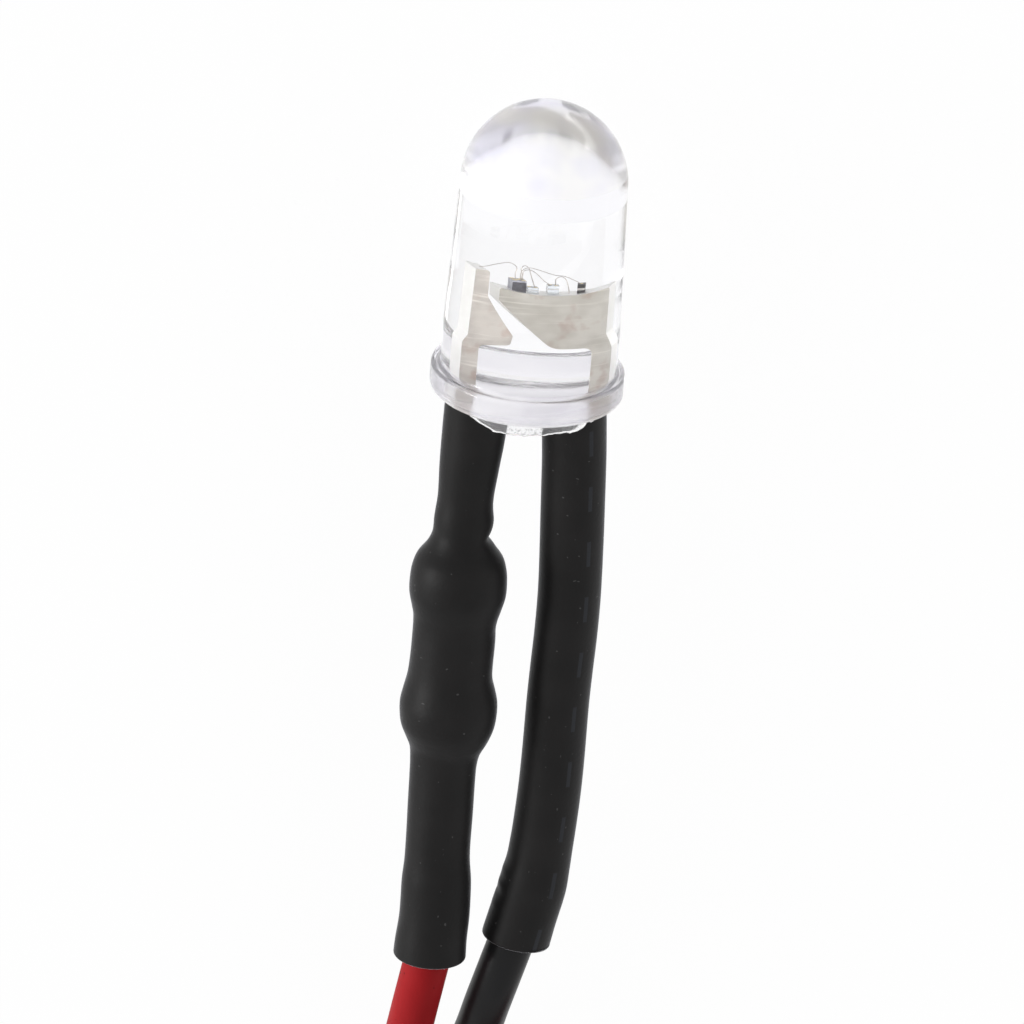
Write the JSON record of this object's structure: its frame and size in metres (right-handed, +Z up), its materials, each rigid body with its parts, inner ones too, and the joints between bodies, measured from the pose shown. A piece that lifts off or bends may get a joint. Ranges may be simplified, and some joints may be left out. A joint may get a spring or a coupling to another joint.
{
  "type": "through hole led",
  "caption": "Clear round light-emitting diode with several chips inside, wired with a series resistor in heat-shrink sleeves and red and black leads.",
  "frame": {"origin": "centre of the flange's shoulder on the lens axis, where a panel seats against the flange", "axes": "+Y along the lens axis towards the dome, +X towards the cathode lead, +Z up from the table that the part lies on"},
  "size_m": [0.0126, 0.0717, 0.0054],
  "materials": {
    "clear_resin": "clear, glossy",
    "lead_frame": "silver-plated, fine cross scratches",
    "silicon": "smooth dark grey with pale pads",
    "clear_crystal": "clear, polished",
    "dark_crystal": "dark with a pale band",
    "bond_gold": "drawn fine wire",
    "ceramic_core": "matte",
    "tinned_steel": "tinned",
    "resistor_lacquer": "glossy lacquer",
    "solder": "bright solder",
    "black_sleeve": "matte with a soft sheen",
    "tinned_copper": "tinned strands",
    "red_insulation": "satin PVC",
    "black_insulation": "satin PVC",
    "tie_plastic": "matte"
  },
  "bodies": {
    "root": {"lens_body": "clear_resin", "anode_post": "lead_frame", "cathode_anvil": "lead_frame", "driver_chip": "silicon", "green_die": "clear_crystal", "blue_die": "clear_crystal", "red_die": "dark_crystal", "supply_bond_wire": "bond_gold", "green_bond_wire": "bond_gold", "blue_bond_wire": "bond_gold", "red_bond_wire": "bond_gold", "return_bond_wire": "bond_gold", "resistor_rod": "ceramic_core", "resistor_upper_cap": "tinned_steel", "resistor_lower_cap": "tinned_steel", "resistor_coating": "resistor_lacquer", "resistor_upper_lead": "tinned_steel", "resistor_lower_lead": "tinned_steel", "anode_solder": "solder", "red_wire_solder": "solder", "cathode_solder": "solder", "resistor_sleeve": "black_sleeve", "cathode_sleeve": "black_sleeve", "red_core": "tinned_copper", "black_core": "tinned_copper", "red_wire": "red_insulation", "black_wire": "black_insulation", "wire_hank": "red_insulation", "red_tail": "red_insulation", "black_tail": "black_insulation", "hank_tie": "tie_plastic", "red_tinned_end": "tinned_copper", "black_tinned_end": "tinned_copper"}
  },
  "joints": []
}
